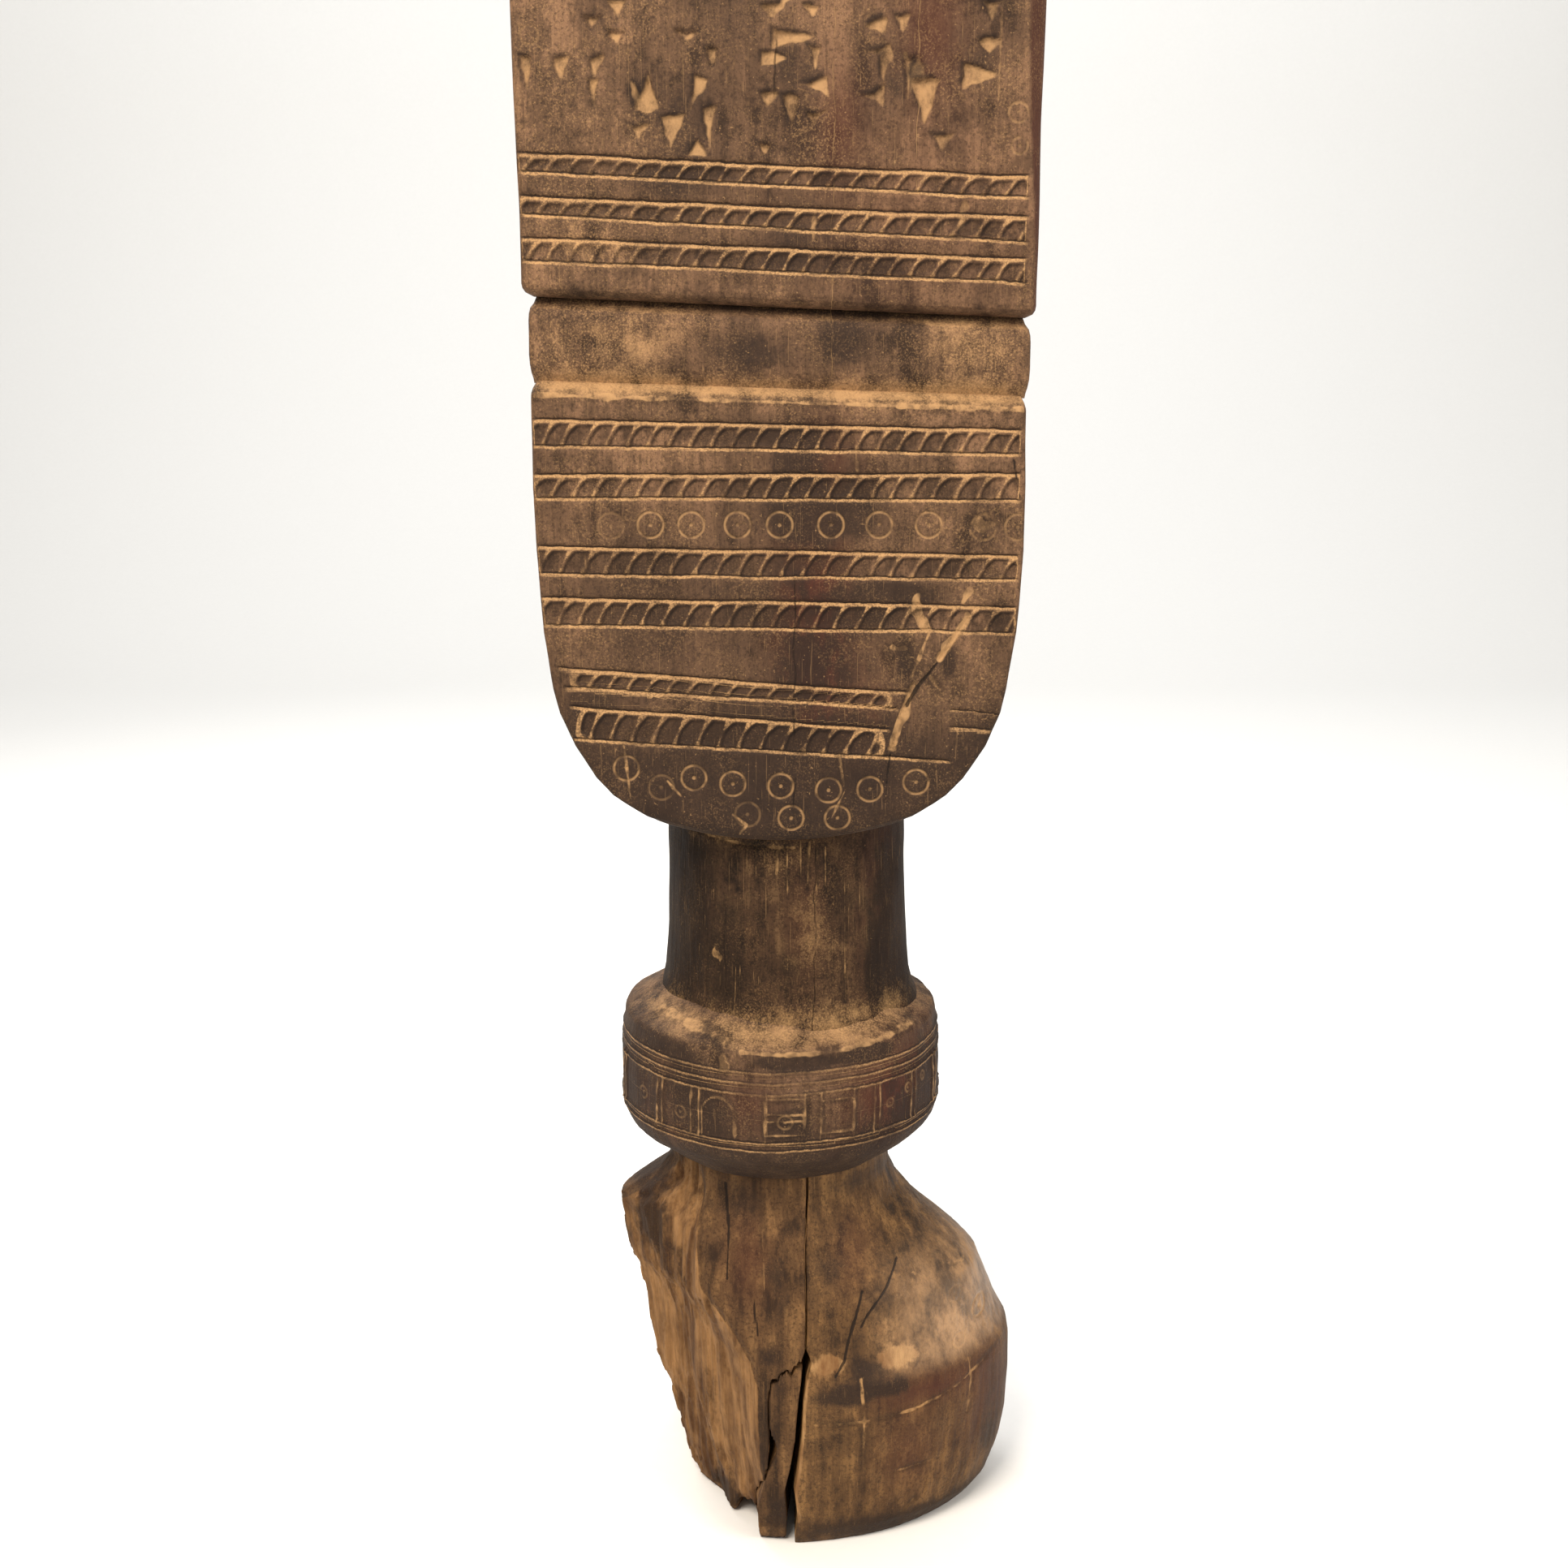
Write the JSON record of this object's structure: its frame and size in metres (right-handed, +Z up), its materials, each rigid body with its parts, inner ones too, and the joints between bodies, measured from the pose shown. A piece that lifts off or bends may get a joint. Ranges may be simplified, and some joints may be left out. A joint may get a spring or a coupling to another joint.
{
  "type": "carved wooden headrest",
  "caption": "Upright carved timber headrest: a dished rest on a flat ornamented panel, a waist band, a tongue-ended panel, a round neck, a collar ring and a split oval bulb foot.",
  "frame": {"origin": "middle of the bounding box's bottom, on the face that the foot stands on", "axes": "+Z up along the timber; -Y out of the ornamented front; +X to the viewer's right, towards the sound side of the foot"},
  "size_m": [0.1084, 0.0748, 0.364],
  "materials": {
    "patinated_wood": "dry and dusty",
    "smoked_wood": "dark, smoke-stained",
    "handled_wood": "rubbed, satin",
    "weathered_wood": "bare split grain, matt"
  },
  "bodies": {
    "root": {"rest_block": "patinated_wood", "waist_band": "patinated_wood", "tongue_panel": "patinated_wood", "neck": "smoked_wood", "collar_ring": "patinated_wood", "foot_bulb": "handled_wood", "foot_broken_side": "weathered_wood", "foot_splinter": "weathered_wood"}
  },
  "joints": []
}
